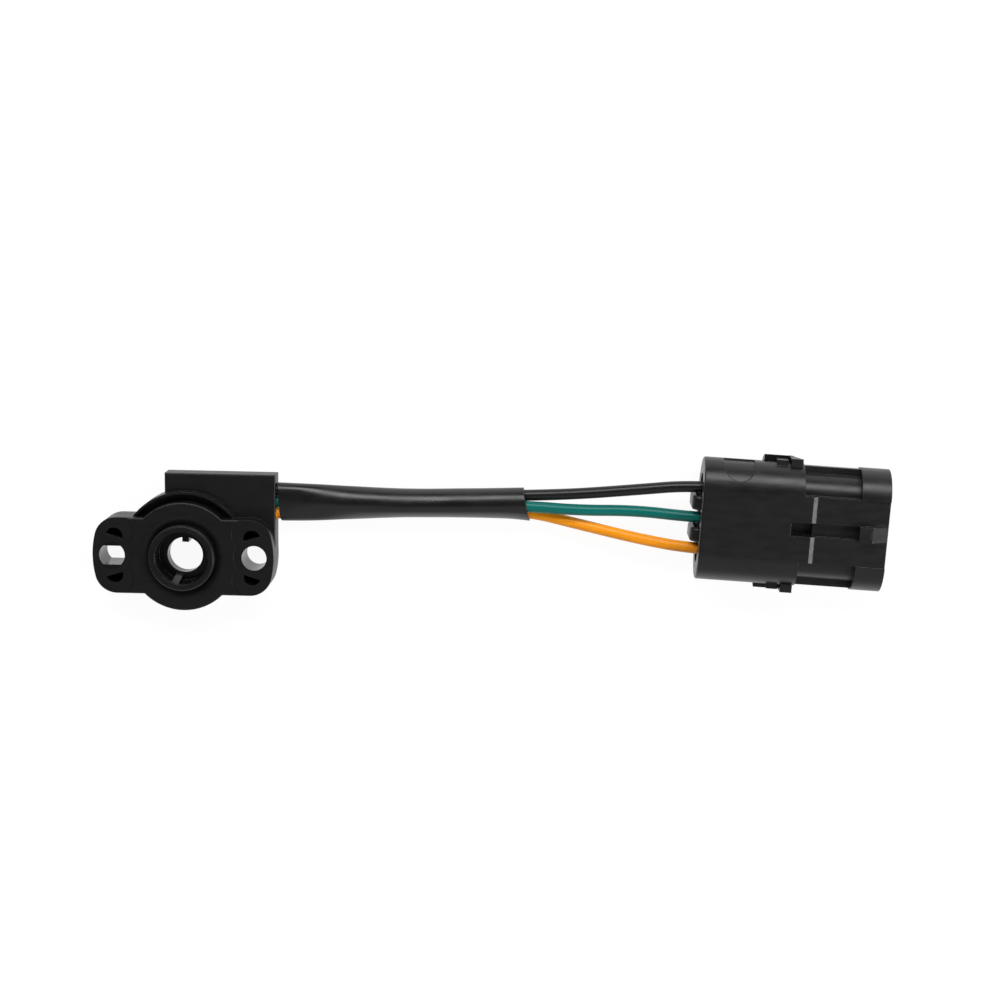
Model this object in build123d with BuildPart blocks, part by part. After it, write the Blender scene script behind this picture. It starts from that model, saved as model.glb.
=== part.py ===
"""Throttle position sensor with a three-wire pigtail and a sealed in-line connector.

Frame: millimetres, origin where the rotor axis meets the flat back of the housing, +Z along the
rotor axis towards the mounting face, +X along the mounting ears towards the pigtail.
"""

from math import cos, pi, radians, sin, tan
import os

from build123d import *

os.makedirs("parts", exist_ok=True)

# Housing: flange with two ears, hub, electronics box and arc rim
flange_thickness = 8.0
hub_radius = 12.3
ear_end_margin = 4.4
ear_width = 17.3
ear_corner_radius = 5.0
flange_edge_radius = 0.4
screw_pitch = 32.0
screw_hole_radius = 2.8
keyed_hole_radius = 2.9
keyed_hole_flats = 4.3
pad_step = 0.25
pad_hole_margin = 1.8
pocket_setback = 0.8
pocket_rise = 5.3
pocket_radius = 1.95
pocket_depth = 5.0
pocket_tilt = 17.0
pad_pocket_radius = 4.2
box_left = -4.6
box_right = 20.35
box_top = 18.45
box_depth = 4.6
box_edge_radius = 0.3
rim_radius = 14.45
rim_wall = 0.55
rim_height = 6.2
moat_floor = 3.4
dish_radius = 9.3
dish_drop = 0.6

# Running and assembly clearances
running_clearance = 0.05
assembly_clearance = 0.05
flange_side_clearance = 0.2
thrust_clearance = 0.1
contact_clearance = 0.05
stop_clearance = 1.0

# Rotor
rotor_tube_radius = 7.45
rotor_front = 10.0
rotor_bore_radius = 5.9
rotor_edge = 0.35
rotor_bore_edge = 0.15
web_front = 5.1
web_thickness = 3.0
web_hole_radius = 4.0
tail_radius = 6.6
tail_shoulder = 0.4
tail_recess = 0.3
tail_bore_radius = 5.0
rotor_flange_radius = 9.6
rotor_flange_thickness = 1.2
key_angle = 88.0
key_width = 1.5
key_height = 1.1
wedge_angle = -105.0
wedge_width = 1.6
wedge_height = 1.3
wedge_length = 4.4
stop_lug_height = 1.0
stop_lug_angle = 16.0
stop_lug_direction = 200.0
travel = 100.0

# Rotor seal
seal_width = 1.1
seal_height = 0.9
seal_edge = 0.18

# Chamber behind the rotor, its cover and the element board
chamber_radius = 10.8
chamber_depth = 3.6
front_wall_depth = 5.2
cover_thickness = 1.0
cover_ledge = 0.6
board_thickness = 0.8
board_side_clearance = 0.2
channel_left = 3.6
channel_bottom = 8.1
channel_top = 12.6
channel_depth = 2.4
bay_left = 13.0
bay_right = 18.7
bay_top = 16.4
bay_depth = 3.95
pad_area_length = 2.7

# Wiper
wiper_sheet = 0.3
wiper_edge_margin = 0.3
wiper_width = 1.9
wiper_span = 50.0
wiper_direction = 20.0
finger_edge_margin = 0.15
finger_width = 0.7
finger_length = 4.2
finger_toe = 0.84
finger_angle_from_middle = 15.0

# Wires and sleeve
wire_radius = 1.275
wire_row_centre = 12.2
wire_row_pitch = 2.65
wire_exit_height = 2.5
wire_end = 16.4
wire_clearance = 0.03
wire_hole_clearance = 0.08
tab_length = 2.2
tab_width = 1.5
tab_thickness = 0.3
tab_setback = 0.6
tab_pin_radius = 0.5
potting_left = 16.1
sleeve_start = 21.0
sleeve_end = 76.75
sleeve_wall = 0.3
sleeve_slack = 0.15
sleeve_crown = 0.15
sleeve_overrun = 0.8
sleeve_flare = 0.25
sleeve_start_slant = 6.3
sleeve_end_slant = 10.8

# Connector
connector_rear = (115.0, 11.4)
connector_turn = -2.8
connector_width = 27.4
connector_thickness = 13.2
connector_length = 40.8
connector_edge = 0.5
cavity_pitch = 7.1
rear_body_length = 22.0
collar_length = 6.4
end_inset = 1.9
end_rib_thickness = 1.5
end_rib_inset = 0.35
plate_width = 14.8
plate_drop = 0.4
step_start = 24.0
step_length = 0.95
mouth_depth = 16.0
mouth_wall = 0.8
slot_start = 19.6
slot_end = 34.4
slot_width = 3.0
slot_depth = 1.4
slot_well_depth = 2.8
slot_well_end = 24.4
tooth_width = 3.4
tooth_height = 1.5
tooth_flat = 2.9
patch_start = 4.3
patch_width = 6.8
patch_reach = 4.2
patch_depth = 0.35
lug_start = 15.9
lug_length = 2.45
lug_low = 5.5
lug_top = 9.0
lug_reach = 0.75
lug_root = 1.2
seal_bore_radius = 3.0
seal_bore_depth = 9.0
terminal_bore_radius = 1.9

# Wire seals and pin terminals
wire_seal_start = 1.4
wire_seal_length = 6.4
wire_seal_ribs = 3
wire_seal_groove = 0.45
terminal_start = 8.5
crimp_radius = 1.5
crimp_length = 5.0
terminal_body_radius = 1.75
pin_radius = 1.2
pin_reach = 10.5

# Rear lock of the connector
lock_thickness = 1.6
lock_width = 18.0
lock_length = 21.5
lock_clearance = 0.1
arm_start = 13.45
arm_gap = 0.2
arm_reach = 1.45
arm_foot_width = 23.2
bar_low = 4.2
bar_top = 5.3
window_start = 15.5
head_start = 18.9
head_top = 9.7
head_tip = 0.4
head_root = 0.4
head_lap = 0.9
head_reach = 1.25
strap_width = 3.2
strap_thickness = 1.3
strap_reach = 1.9
strap_height = 9.4
strap_bend_radius = 1.2


def sector(radius, direction, span):
    """Corner points of a wedge that cuts an arc of the given span out of a ring."""
    reach = 2 * radius
    angles = [direction - span / 2, direction, direction + span / 2]
    return [(0, 0)] + [(reach * cos(radians(a)), reach * sin(radians(a))) for a in angles]


def radial_plane(angle):
    """Plane through the rotor axis: local x points outwards at the angle, local y is +Z."""
    a = radians(angle)
    return Plane(origin=(0, 0, 0), x_dir=(cos(a), sin(a), 0), z_dir=(sin(a), -cos(a), 0))


connector_axis = Vector(cos(radians(connector_turn)), sin(radians(connector_turn)), 0)
connector_side = Vector(-connector_axis.Y, connector_axis.X, 0)
connector_middle = connector_thickness / 2


def along(distance, side=0.0, height=connector_middle):
    """Point in the connector: distance from its rear face, to the side, and above the floor."""
    start = Vector(connector_rear[0], connector_rear[1], height)
    return start + connector_axis * distance + connector_side * side


def station(distance, side=0.0):
    """Cross-section plane of the connector, facing its front."""
    return Plane(origin=along(distance, side), x_dir=connector_side, z_dir=connector_axis)


def connector_top(height):
    """Plane over the connector: local x runs to its front, local y to its side."""
    return Plane(origin=along(0, 0, height), x_dir=connector_axis, z_dir=(0, 0, 1))


def connector_flank(side=0.0):
    """Lengthwise upright plane of the connector: local x to its front, local y up from the floor."""
    return Plane(origin=along(0, side, 0), x_dir=connector_axis, z_dir=-connector_side)


# Values shared by parts that fit together
bore_radius = rotor_tube_radius + running_clearance
rotor_flange_top = front_wall_depth - thrust_clearance
rotor_flange_bottom = rotor_flange_top - rotor_flange_thickness
stop_lug_radius = rotor_flange_radius + stop_lug_height
upper_chamber_radius = rotor_flange_radius + flange_side_clearance
stop_pocket_radius = stop_lug_radius + flange_side_clearance
stop_pocket_span = travel + stop_lug_angle + 2 * stop_clearance
stop_pocket_direction = stop_lug_direction + travel / 2
seal_seat_radius = bore_radius + seal_width + assembly_clearance
wiper_outer_radius = rotor_flange_radius - wiper_edge_margin
wiper_inner_radius = wiper_outer_radius - wiper_width
finger_inset = finger_edge_margin + finger_width / 2
finger_radii = (wiper_inner_radius + finger_inset, wiper_outer_radius - finger_inset)
board_top = cover_thickness + board_thickness
screw_place = screw_pitch / 2
ear_end_radius = screw_place + ear_end_margin
pocket_spread = 2 * (screw_place - pocket_setback)
wire_rows = {"black": wire_row_pitch, "green": 0.0, "orange": -wire_row_pitch}
cavities = {"black": cavity_pitch, "green": 0.0, "orange": -cavity_pitch}
plate_half = connector_middle - plate_drop
crest = connector_width / 2

# Electronics box with its rounded front edges
with BuildPart() as box_form:
    with BuildSketch():
        with Locations(((box_left + box_right) / 2, box_top / 2)):
            Rectangle(box_right - box_left, box_top)
    extrude(amount=box_depth)
    front_edges = box_form.faces().sort_by(Axis.Z)[-1].edges()
    fillet(front_edges.sort_by(Axis.Y)[1:], box_edge_radius)

# Housing
with BuildPart() as housing:
    with BuildSketch() as ear_outline:
        Circle(ear_end_radius)
        Rectangle(3 * ear_end_radius, ear_width, mode=Mode.INTERSECT)
        corners = [v for v in ear_outline.vertices() if abs(v.Y) > ear_width / 4]
        fillet(corners, ear_corner_radius)
        Circle(hub_radius)
    extrude(amount=flange_thickness)
    fillet(housing.faces().sort_by(Axis.Z)[-1].edges(), flange_edge_radius)
    add(box_form.part)
    with BuildSketch() as rim_outline:
        Circle(rim_radius)
        with Locations((0, rim_radius)):
            Rectangle(2 * rim_radius, 2 * rim_radius, mode=Mode.INTERSECT)
    extrude(amount=rim_height)
    # Moat between the rim and the hub
    with BuildSketch(Plane.XY.offset(moat_floor)):
        Circle(rim_radius - rim_wall)
        Circle(hub_radius, mode=Mode.SUBTRACT)
        with Locations((0, ear_width / 2 + rim_radius)):
            Rectangle(2 * rim_radius, 2 * rim_radius, mode=Mode.INTERSECT)
    extrude(amount=flange_thickness, mode=Mode.SUBTRACT)
    # Front opening with its rolled edge
    with BuildSketch(Plane.XZ):
        with BuildLine():
            lip = (bore_radius, flange_thickness - dish_drop)
            dish_roll = ((dish_radius - bore_radius) ** 2 + dish_drop**2) / (2 * dish_drop)
            RadiusArc((dish_radius, flange_thickness), lip, -dish_roll)
            Polyline(lip, (bore_radius, 0), (0, 0), (0, rotor_front))
            Polyline((0, rotor_front), (dish_radius, rotor_front), (dish_radius, flange_thickness))
        make_face()
    revolve(axis=Axis.Z, mode=Mode.SUBTRACT)
    # Seal seat, rotor chamber and stop pocket
    with BuildSketch(Plane.XY.offset(front_wall_depth)):
        Circle(seal_seat_radius)
    extrude(amount=seal_height + assembly_clearance, mode=Mode.SUBTRACT)
    with BuildSketch():
        Circle(upper_chamber_radius)
    extrude(amount=front_wall_depth, mode=Mode.SUBTRACT)
    with BuildSketch(Plane.XY.offset(chamber_depth)):
        Circle(stop_pocket_radius)
        Polygon(
            *sector(stop_pocket_radius, stop_pocket_direction, stop_pocket_span),
            align=None,
            mode=Mode.INTERSECT,
        )
    extrude(amount=front_wall_depth - chamber_depth, mode=Mode.SUBTRACT)
    with BuildSketch():
        Circle(chamber_radius)
    extrude(amount=chamber_depth, mode=Mode.SUBTRACT)
    # Board channel, terminal bay and the cover's recess
    with BuildSketch():
        with Locations((channel_left, channel_bottom)):
            Rectangle(bay_left - channel_left, channel_top - channel_bottom, align=Align.MIN)
    extrude(amount=channel_depth, mode=Mode.SUBTRACT)
    with BuildSketch():
        with Locations((bay_left, channel_bottom)):
            Rectangle(bay_right - bay_left, bay_top - channel_bottom, align=Align.MIN)
    extrude(amount=bay_depth, mode=Mode.SUBTRACT)
    with BuildSketch() as cover_recess:
        Circle(chamber_radius + cover_ledge)
        with Locations((channel_left - cover_ledge, channel_bottom - cover_ledge)):
            Rectangle(
                bay_right - channel_left + 2 * cover_ledge,
                bay_top - channel_bottom + 2 * cover_ledge,
                align=Align.MIN,
            )
    extrude(amount=cover_thickness, mode=Mode.SUBTRACT)
    # Wire holes through the box wall
    with BuildSketch(Plane.YZ.offset(bay_right)):
        for offset_y in wire_rows.values():
            with Locations((wire_row_centre + offset_y, wire_exit_height)):
                Circle(wire_radius + wire_hole_clearance)
    extrude(amount=box_right - bay_right, mode=Mode.SUBTRACT)
    # Stepped pads round the ear holes
    with BuildSketch(Plane.XY.offset(flange_thickness - pad_step)):
        with Locations((screw_place, 0), (-screw_place, 0)):
            Circle(screw_hole_radius + pad_hole_margin)
        with GridLocations(pocket_spread, 2 * pocket_rise, 2, 2):
            Circle(pad_pocket_radius)
        with GridLocations(2 * ear_end_radius, 0, 2, 1):
            Rectangle(2 * (ear_end_radius - screw_place), ear_width)
    extrude(amount=pad_step, mode=Mode.SUBTRACT)
    # Round hole, keyed hole and half-moon pockets
    with BuildSketch():
        with Locations((screw_place, 0)):
            Circle(screw_hole_radius)
    extrude(amount=flange_thickness, mode=Mode.SUBTRACT)
    with BuildSketch():
        with Locations((-screw_place, 0)):
            Circle(keyed_hole_radius)
            Rectangle(3 * keyed_hole_radius, keyed_hole_flats, mode=Mode.INTERSECT)
    extrude(amount=flange_thickness, mode=Mode.SUBTRACT)
    for side in (1, -1):
        for rise in (1, -1):
            pocket_plane = Plane(
                origin=(side * pocket_spread / 2, rise * pocket_rise, flange_thickness)
            ).rotated((0, 0, side * rise * pocket_tilt))
            with BuildSketch(pocket_plane):
                with Locations((0, -rise * pocket_radius / 2)):
                    Circle(pocket_radius)
                    with Locations((0, rise * pocket_radius)):
                        Rectangle(2 * pocket_radius, 2 * pocket_radius, mode=Mode.INTERSECT)
            extrude(amount=-pocket_depth, mode=Mode.SUBTRACT)
housing.part.label = "housing"
export_step(housing.part, "parts/housing.step")

# Rotor: keyed tube with a thrust flange and a web across its bore
with BuildPart() as rotor:
    with BuildSketch(Plane.XZ):
        with BuildLine():
            Polyline(
                (tail_bore_radius, tail_recess),
                (tail_radius, tail_recess),
                (tail_radius, cover_thickness + thrust_clearance),
                (tail_radius + tail_shoulder, cover_thickness + thrust_clearance),
                (tail_radius + tail_shoulder, rotor_flange_bottom),
                (rotor_flange_radius, rotor_flange_bottom),
                (rotor_flange_radius, rotor_flange_top),
                (rotor_tube_radius, rotor_flange_top),
                (rotor_tube_radius, rotor_front - rotor_edge),
                (rotor_tube_radius - rotor_edge, rotor_front),
                (rotor_bore_radius + rotor_bore_edge, rotor_front),
                (rotor_bore_radius, rotor_front - rotor_bore_edge),
                (rotor_bore_radius, web_front),
                (web_hole_radius, web_front),
                (web_hole_radius, web_front - web_thickness),
                (tail_bore_radius, web_front - web_thickness),
                close=True,
            )
        make_face()
    revolve(axis=Axis.Z)
    # Stop lug on the flange
    with BuildSketch(Plane.XY.offset(rotor_flange_bottom)):
        Circle(stop_lug_radius)
        Circle((rotor_flange_radius + tail_radius) / 2, mode=Mode.SUBTRACT)
        Polygon(
            *sector(stop_lug_radius, stop_lug_direction, stop_lug_angle),
            align=None,
            mode=Mode.INTERSECT,
        )
    extrude(amount=rotor_flange_thickness)
    # Drive key on the web and wedge rib down the bore
    with BuildSketch(radial_plane(key_angle)):
        with Locations((web_hole_radius - key_height, web_front - web_thickness)):
            Rectangle(2 * key_height, web_thickness, align=Align.MIN)
    extrude(amount=key_width / 2, both=True)
    with BuildSketch(radial_plane(wedge_angle)):
        with BuildLine():
            wall = (rotor_bore_radius + rotor_tube_radius) / 2
            Polyline(
                (rotor_bore_radius, web_front + wedge_length),
                (wall, web_front + wedge_length),
                (wall, web_front),
                (rotor_bore_radius - wedge_height, web_front),
                close=True,
            )
        make_face()
    extrude(amount=wedge_width / 2, both=True)
rotor.part.label = "rotor"
export_step(rotor.part, "parts/rotor.step")

# Rotor seal, seated in the front wall
with BuildPart() as rotor_seal:
    with BuildSketch(Plane.XY.offset(front_wall_depth + assembly_clearance)):
        Circle(bore_radius + seal_width)
        Circle(bore_radius, mode=Mode.SUBTRACT)
    extrude(amount=seal_height)
    chamfer(rotor_seal.edges().filter_by(GeomType.CIRCLE), seal_edge)
rotor_seal.part.label = "rotor_seal"
export_step(rotor_seal.part, "parts/rotor_seal.step")

# Wiper: sprung sheet under the rotor flange
with BuildPart() as wiper:
    with BuildSketch(Plane.XY.offset(rotor_flange_bottom - wiper_sheet)):
        Circle(wiper_outer_radius)
        Circle(wiper_inner_radius, mode=Mode.SUBTRACT)
        Polygon(
            *sector(wiper_outer_radius, wiper_direction, wiper_span),
            align=None,
            mode=Mode.INTERSECT,
        )
    extrude(amount=wiper_sheet)
    root_height = rotor_flange_bottom - wiper_sheet
    tip_height = board_top + contact_clearance
    for radius in finger_radii:
        finger_angle = radians(wiper_direction + finger_angle_from_middle)
        outward = Vector(cos(finger_angle), sin(finger_angle), 0)
        tangent = Vector(-outward.Y, outward.X, 0)
        finger_plane = Plane(origin=outward * radius, x_dir=tangent, z_dir=outward)
        with BuildSketch(finger_plane):
            with BuildLine():
                Polyline(
                    (0, root_height + wiper_sheet),
                    (0, root_height),
                    (finger_length - finger_toe, tip_height),
                    (finger_length, tip_height + wiper_sheet),
                    (finger_length, tip_height + 2 * wiper_sheet),
                    (finger_length - finger_toe, tip_height + wiper_sheet),
                    close=True,
                )
            make_face()
        extrude(amount=finger_width / 2, both=True)
wiper.part.label = "wiper"
export_step(wiper.part, "parts/wiper.step")

# Element board: ring round the rotor's tail with a tongue into the terminal bay
with BuildPart() as element_board:
    with BuildSketch(Plane.XY.offset(cover_thickness)):
        Circle(chamber_radius - board_side_clearance)
        with Locations((channel_left, channel_bottom + board_side_clearance)):
            tongue_width = channel_top - channel_bottom - 2 * board_side_clearance
            Rectangle(bay_left - channel_left + pad_area_length, tongue_width, align=Align.MIN)
        with Locations((bay_left + board_side_clearance, channel_bottom + board_side_clearance)):
            pad_width = bay_top - channel_bottom - 2 * board_side_clearance
            Rectangle(pad_area_length - board_side_clearance, pad_width, align=Align.MIN)
        Circle(tail_radius + tail_shoulder + board_side_clearance, mode=Mode.SUBTRACT)
    extrude(amount=board_thickness)
element_board.part.label = "element_board"
export_step(element_board.part, "parts/element_board.step")

# Back cover, let into the back of the housing
with BuildPart() as back_cover:
    with BuildSketch():
        Circle(chamber_radius + cover_ledge - assembly_clearance)
        cover_margin = cover_ledge - assembly_clearance
        with Locations((channel_left - cover_margin, channel_bottom - cover_margin)):
            Rectangle(
                bay_right - channel_left + 2 * cover_margin,
                bay_top - channel_bottom + 2 * cover_margin,
                align=Align.MIN,
            )
        Circle(tail_radius + running_clearance, mode=Mode.SUBTRACT)
    extrude(amount=cover_thickness)
back_cover.part.label = "back_cover"
export_step(back_cover.part, "parts/back_cover.step")

# Solder terminals on the board, one for each wire
for colour, row in wire_rows.items():
    with BuildPart() as board_terminal:
        with BuildSketch(Plane.XY.offset(board_top)):
            with Locations((potting_left - tab_length, wire_row_centre + row)):
                Rectangle(tab_length - tab_setback, tab_width, align=(Align.MIN, Align.CENTER))
        extrude(amount=tab_thickness)
        with BuildSketch(Plane.YZ.offset(potting_left - tab_length + tab_setback)):
            with Locations((wire_row_centre + row, wire_exit_height)):
                Circle(tab_pin_radius)
        extrude(amount=wire_end - potting_left + tab_length - tab_setback)
    board_terminal.part.label = f"board_terminal_{colour}"
    export_step(board_terminal.part, f"parts/board_terminal_{colour}.step")

# Potting plug that grips the wires inside the box wall
with BuildPart() as potting_plug:
    with BuildSketch(Plane.YZ.offset(potting_left)):
        low = channel_bottom + assembly_clearance
        high = bay_top - assembly_clearance
        with Locations(((low + high) / 2, (cover_thickness + bay_depth) / 2)):
            Rectangle(high - low, bay_depth - cover_thickness - 2 * assembly_clearance)
        for row in wire_rows.values():
            with Locations((wire_row_centre + row, wire_exit_height)):
                Circle(wire_radius + wire_clearance, mode=Mode.SUBTRACT)
    extrude(amount=bay_right - potting_left)
potting_plug.part.label = "potting_plug"
export_step(potting_plug.part, "parts/potting_plug.step")

# Bundle inside the sleeve: station along X, centre (y, z), and each wire's place about that centre
bundle = [
    (25.0, (12.1, 2.5), {"black": (2.65, 0.0), "green": (0.0, 0.0), "orange": (-2.65, 0.0)}),
    (36.0, (12.25, 2.95), {"black": (2.15, -0.2), "green": (-0.25, 1.15), "orange": (-2.15, -0.65)}),
    (49.0, (12.45, 3.3), {"black": (1.45, -0.45), "green": (-0.35, 1.5), "orange": (-1.45, -0.95)}),
    (64.0, (12.85, 3.6), {"black": (1.6, -0.35), "green": (-0.3, 1.5), "orange": (-1.55, -0.85)}),
    (77.0, (13.15, 3.9), {"black": (1.9, 0.0), "green": (-0.3, 1.45), "orange": (-1.85, -0.7)}),
]
# Free stretch between the sleeve and the connector
fan_out = {
    "black": [(88.0, 15.75, 4.7), (101.0, 17.2, 5.9)],
    "green": [(88.0, 12.2, 5.5), (101.0, 12.6, 6.3)],
    "orange": [(88.0, 8.85, 3.7), (101.0, 6.2, 5.3)],
}
lead_in = 2.0
arc_share = 0.45


def wire_route(colour):
    """Points of one wire from its board terminal to its pin terminal."""
    start = (wire_end, wire_row_centre + wire_rows[colour], wire_exit_height)
    middle = [(x, y + at[colour][0], z + at[colour][1]) for x, (y, z), at in bundle]
    last = [tuple(along(d, cavities[colour])) for d in (-lead_in, terminal_start)]
    return [Vector(p) for p in [start] + middle + fan_out[colour] + last]


def bend_radii(points):
    """Tangent arc at each corner: a share of the shorter run over the tangent of half the turn."""
    radii = []
    for before, here, after in zip(points, points[1:], points[2:]):
        turn = (here - before).get_angle(after - here)
        shorter = min((here - before).length, (after - here).length)
        radii.append(arc_share * shorter / tan(radians(turn / 2)))
    return radii


# Wires
for colour in wire_rows:
    route = wire_route(colour)
    with BuildPart() as wire:
        with BuildLine() as wire_path:
            FilletPolyline(*route, radius=bend_radii(route))
        with BuildSketch(Plane(origin=route[0], z_dir=route[1] - route[0])):
            Circle(wire_radius)
        sweep(path=wire_path.wires()[0])
    length = wire_path.wires()[0].length
    share = wire.part.volume / (length * pi * wire_radius**2)
    bends = [round(r) for r in bend_radii(route)]
    print(f"{colour}_wire length {length:.1f} bends {bends} volume share {share:.4f}")
    wire.part.label = f"{colour}_wire"
    export_step(wire.part, f"parts/{colour}_wire.step")

# Shrunk sleeve: a skin drawn tight over the wires at each station, with slanted ends
row_skin = dict(bundle[0][2], green=(0.0, sleeve_crown))
end_y, end_z = bundle[-1][2]["orange"]
end_skin = dict(bundle[-1][2], orange=(end_y - sleeve_flare, end_z))
sleeve_stations = (
    [(sleeve_start - sleeve_overrun, bundle[0][1], row_skin), (bundle[0][0], bundle[0][1], row_skin)]
    + bundle[1:-1]
    + [(sleeve_end + sleeve_overrun, bundle[-1][1], end_skin)]
)


def sleeve_form(cover):
    """Loft of tight skins that lie the given cover away from the wires."""
    with BuildPart() as form:
        for x, (y, z), places in sleeve_stations:
            with BuildSketch(Plane(origin=(x, y, z), x_dir=(0, 1, 0), z_dir=(1, 0, 0))):
                with BuildLine():
                    Polyline(*places.values(), close=True)
                make_face()
                offset(amount=wire_radius + cover)
        loft(ruled=True)
    return form.part


def end_cut(x, centre, slant):
    """Upright plane across the sleeve, turned from square by the slant."""
    a = radians(slant)
    return Plane(origin=(x, *centre), x_dir=(-sin(a), -cos(a), 0), z_dir=(cos(a), -sin(a), 0))


sleeve_outside = sleeve_form(sleeve_slack + sleeve_wall)
sleeve_inside = sleeve_form(sleeve_slack)
with BuildPart() as sleeve:
    add(sleeve_outside)
    add(sleeve_inside, mode=Mode.SUBTRACT)
    split(bisect_by=end_cut(sleeve_start, bundle[0][1], -sleeve_start_slant), keep=Keep.TOP)
    split(bisect_by=end_cut(sleeve_end, bundle[-1][1], -sleeve_end_slant), keep=Keep.BOTTOM)
sleeve.part.label = "sleeve"
export_step(sleeve.part, "parts/sleeve.step")

# Moulded patch on one rounded end: the skin outside a slightly smaller stadium
with BuildPart() as patch_form:
    with BuildSketch(connector_top(connector_middle)):
        tip = crest - patch_reach + patch_width / 2
        with Locations((patch_start + patch_width / 2, tip)):
            Circle(patch_width / 2)
        with Locations((patch_start + patch_width / 2, tip + patch_width / 2)):
            Rectangle(patch_width, patch_width)
    extrude(amount=connector_middle)
    with BuildSketch(station(0)):
        SlotOverall(connector_width - 2 * patch_depth, connector_thickness - 2 * patch_depth)
    extrude(amount=connector_length, mode=Mode.SUBTRACT)

# Connector housing
with BuildPart() as connector_housing:
    with BuildSketch(station(0)):
        SlotOverall(connector_width, connector_thickness)
    extrude(amount=rear_body_length)
    fillet(connector_housing.faces().sort_by(Axis(along(0), connector_axis))[0].edges(), connector_edge)
    # Front shroud: inset ends, end ribs, middle plate and collar
    with BuildSketch(station(rear_body_length)):
        SlotOverall(connector_width - 2 * end_inset, connector_thickness - 2 * end_inset)
        Rectangle(connector_width - 2 * end_rib_inset, end_rib_thickness)
    extrude(amount=connector_length - rear_body_length)
    with BuildSketch(station(connector_length - collar_length)):
        SlotOverall(connector_width, connector_thickness)
        with Locations((0, plate_half + plate_drop), (0, -plate_half - plate_drop)):
            Rectangle(plate_width, 2 * plate_drop, mode=Mode.SUBTRACT)
    extrude(amount=collar_length)
    with BuildSketch(connector_flank()):
        with BuildLine():
            top = connector_thickness
            Polyline(
                (rear_body_length, 0),
                (step_start, 0),
                (step_start + step_length, plate_drop),
                (connector_length, plate_drop),
                (connector_length, top - plate_drop),
                (step_start + step_length, top - plate_drop),
                (step_start, top),
                (rear_body_length, top),
                close=True,
            )
        make_face()
    extrude(amount=plate_width / 2, both=True)
    add(patch_form.part, mode=Mode.SUBTRACT)
    # Mouth, wire seal bores and terminal bores
    with BuildSketch(station(connector_length)):
        inner = 2 * (end_inset + mouth_wall)
        SlotOverall(connector_width - inner, connector_thickness - inner)
    extrude(amount=-mouth_depth, mode=Mode.SUBTRACT)
    with BuildSketch(station(0)):
        with GridLocations(cavity_pitch, 0, len(cavities), 1):
            Circle(seal_bore_radius)
    extrude(amount=seal_bore_depth, mode=Mode.SUBTRACT)
    with BuildSketch(station(seal_bore_depth)):
        with GridLocations(cavity_pitch, 0, len(cavities), 1):
            Circle(terminal_bore_radius)
    extrude(amount=connector_length - mouth_depth - seal_bore_depth, mode=Mode.SUBTRACT)
    # Slot in the plate and the lock tooth at its end
    with BuildSketch(connector_top(connector_thickness)):
        with Locations((slot_start, 0)):
            Rectangle(slot_end - slot_start, slot_width, align=(Align.MIN, Align.CENTER))
    extrude(amount=-plate_drop - slot_depth, mode=Mode.SUBTRACT)
    with BuildSketch(connector_top(connector_thickness)):
        with Locations((slot_start, 0)):
            Rectangle(slot_well_end - slot_start, slot_width, align=(Align.MIN, Align.CENTER))
    extrude(amount=-plate_drop - slot_well_depth, mode=Mode.SUBTRACT)
    with BuildSketch(connector_flank()):
        with BuildLine():
            deck = connector_thickness - plate_drop
            Polyline(
                (slot_end, deck - plate_drop),
                (slot_end, deck + tooth_height),
                (slot_end + tooth_flat, deck + tooth_height),
                (connector_length, deck),
                (connector_length, deck - plate_drop),
                close=True,
            )
        make_face()
    extrude(amount=tooth_width / 2, both=True)
    # Lugs for the rear lock, and the recess that the lock lies in
    for side in (1, -1):
        with BuildSketch(connector_flank(side * (crest - lug_root))):
            with Locations((lug_start, lug_low)):
                Rectangle(lug_length, lug_top - lug_low, align=Align.MIN)
        extrude(amount=-side * (lug_root + lug_reach))
    with BuildSketch(connector_top(0)):
        Rectangle(2 * (lock_length + lock_clearance), lock_width + 2 * lock_clearance)
        with Locations((arm_start - lock_clearance, 0)):
            arm_run = lock_length - arm_start + 2 * lock_clearance
            Rectangle(arm_run, 2 * connector_width, align=(Align.MIN, Align.CENTER))
    extrude(amount=lock_thickness + lock_clearance, mode=Mode.SUBTRACT)
connector_housing.part.label = "connector_housing"
export_step(connector_housing.part, "parts/connector_housing.step")

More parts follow.
